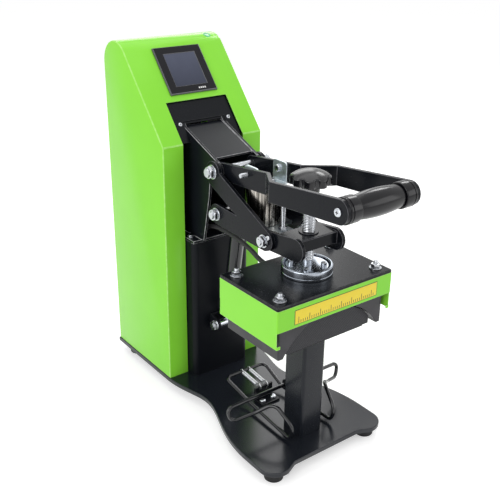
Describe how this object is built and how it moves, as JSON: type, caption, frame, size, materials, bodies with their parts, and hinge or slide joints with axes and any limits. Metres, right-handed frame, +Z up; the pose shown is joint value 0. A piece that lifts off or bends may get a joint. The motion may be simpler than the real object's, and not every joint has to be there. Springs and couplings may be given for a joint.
{
  "type": "cap heat press",
  "caption": "Bench heat press for caps: a curved heated platen closes on a padded cap former, held shut by a magnet and lifted by a gas damper.",
  "frame": {"origin": "middle of the footprint, on the surface that the rubber feet stand on", "axes": "+Z up, +Y from the operator towards the back of the machine, +X to the operator's right"},
  "size_m": [0.195, 0.464, 0.482],
  "materials": {
    "base_black": "satin black powder coat",
    "column_black": "textured black powder coat",
    "arm_black": "semi-gloss black paint",
    "plate_black": "semi-matte black paint",
    "housing_green": "glossy lime green enamel",
    "foot_rubber": "matte black rubber",
    "zinc_steel": "bright zinc-plated steel",
    "dark_screws": "black-oxide steel",
    "chrome_bright": "polished chrome plate",
    "magnet_nickel": "turned nickel plate",
    "bright_tube": "bright turned steel",
    "spring_steel": "bright spring wire",
    "wire_black": "black-coated wire",
    "cast_alloy": "as-cast aluminium",
    "heater_alloy": "dark non-stick coated aluminium",
    "element_steel": "heat-tinted steel sheath",
    "insulation_wool": "ceramic fibre board",
    "pad_silicone": "dark grey silicone rubber",
    "grip_gloss": "glossy black plastic",
    "knob_plastic": "moulded black plastic",
    "bezel_plastic": "glossy black plastic bezel",
    "inlet_plastic": "black moulded plastic",
    "rocker_plastic": "glossy black rocker",
    "screen_glass": "dark display window",
    "lamp_ring": "translucent teal lens",
    "lead_sleeve": "black braided glass sleeve",
    "damper_black": "glossy black paint"
  },
  "bodies": {
    "frame": {"base_plate": "base_black", "rubber_feet": "foot_rubber", "base_bolts": "zinc_steel", "column": "column_black", "head_frame": "column_black", "head_screws": "zinc_steel", "back_plate": "plate_black", "housing_cover": "housing_green", "housing_screws": "dark_screws", "rear_panel": "plate_black", "mains_inlet": "inlet_plastic", "controller_body": "bezel_plastic", "touch_screen": "screen_glass", "status_lamp": "lamp_ring", "post": "column_black", "pedestal_screws": "dark_screws", "former_shelf": "plate_black", "cap_former": "cast_alloy", "silicone_pad": "pad_silicone", "main_axle": "zinc_steel", "damper_clevis": "column_black", "damper_pin": "zinc_steel", "wire_clamp": "plate_black", "spring_bracket": "plate_black", "wire_springs": "spring_steel", "heater_lead": "lead_sleeve"},
    "rocker": {"rocker_switch": "rocker_plastic"},
    "press_arm": {"arm_plate_left": "arm_black", "arm_plate_right": "arm_black", "arm_bolts": "zinc_steel", "arm_nuts": "zinc_steel", "lift_spacers": "bright_tube", "yoke": "arm_black", "yoke_nut": "zinc_steel", "armature_plate": "zinc_steel", "stop_rod": "zinc_steel"},
    "handle": {"handle_arm_left": "arm_black", "handle_arm_right": "arm_black", "grip_barrel": "grip_gloss", "grip_collars": "grip_gloss", "grip_screws": "chrome_bright", "magnet_body": "magnet_nickel", "magnet_hangers": "zinc_steel", "hanger_bolts": "zinc_steel"},
    "platen": {"cover_plate": "plate_black", "heater_skirt": "housing_green", "heater_block": "heater_alloy", "heating_element": "element_steel", "insulation_slab": "insulation_wool", "platen_studs": "zinc_steel", "stud_nuts": "zinc_steel", "swivel_cup": "chrome_bright", "retaining_ring": "zinc_steel", "cup_screws": "dark_screws", "lead_gland": "inlet_plastic"},
    "spindle": {"spindle": "zinc_steel", "knob": "knob_plastic"},
    "damper_tube": {"damper_tube": "damper_black"},
    "damper_rod": {"damper_rod": "chrome_bright"},
    "cap_wire": {"cap_wire": "wire_black"}
  },
  "joints": [
    {"name": "arm_lift", "type": "hinge", "parent": "frame", "child": "press_arm", "pos_m": [0, 0.03, 0.338], "axis": [-1, 0, 0], "range_deg": [0, 30], "deforming": ["heater_lead"]},
    {"name": "handle_lift", "type": "hinge", "parent": "press_arm", "child": "handle", "pos_m": [0, 0.03, 0.338], "axis": [-1, 0, 0], "range_deg": [0, 12]},
    {"name": "platen_slide", "type": "slide", "parent": "press_arm", "child": "platen", "axis": [0, 0, 1], "range_m": [0, 0.005]},
    {"name": "spindle_turn", "type": "hinge", "parent": "platen", "child": "spindle", "pos_m": [0, -0.113, 0.3], "axis": [0, 0, 1], "range_deg": [0, 900]},
    {"name": "damper_swing", "type": "hinge", "parent": "frame", "child": "damper_rod", "pos_m": [0, 0.05, 0.104], "axis": [1, 0, 0], "range_deg": [0, 7.5]},
    {"name": "damper_extend", "type": "slide", "parent": "damper_rod", "child": "damper_tube", "axis": [0, -0.1541, 0.9881], "range_m": [0, 0.016]},
    {"name": "wire_tilt", "type": "hinge", "parent": "frame", "child": "cap_wire", "pos_m": [0, -0.08, 0.065], "axis": [1, 0, 0], "range_deg": [-8, 0], "stiffness_Nm_per_rad": 1, "springref_deg": 34.38, "deforming": ["wire_springs"]},
    {"name": "rocker_tilt", "type": "hinge", "parent": "frame", "child": "rocker", "pos_m": [0, 0.2245, 0.0955], "axis": [0, 0, 1], "range_deg": [-8, 8]}
  ],
  "couplings": [
    {"joint": "damper_swing", "follows": "arm_lift", "ratio": 0.2425},
    {"joint": "damper_extend", "follows": "arm_lift", "m_per_rad": 0.02922},
    {"joint": "spindle_turn", "follows": "platen_slide", "rad_per_m": 3141.6}
  ]
}
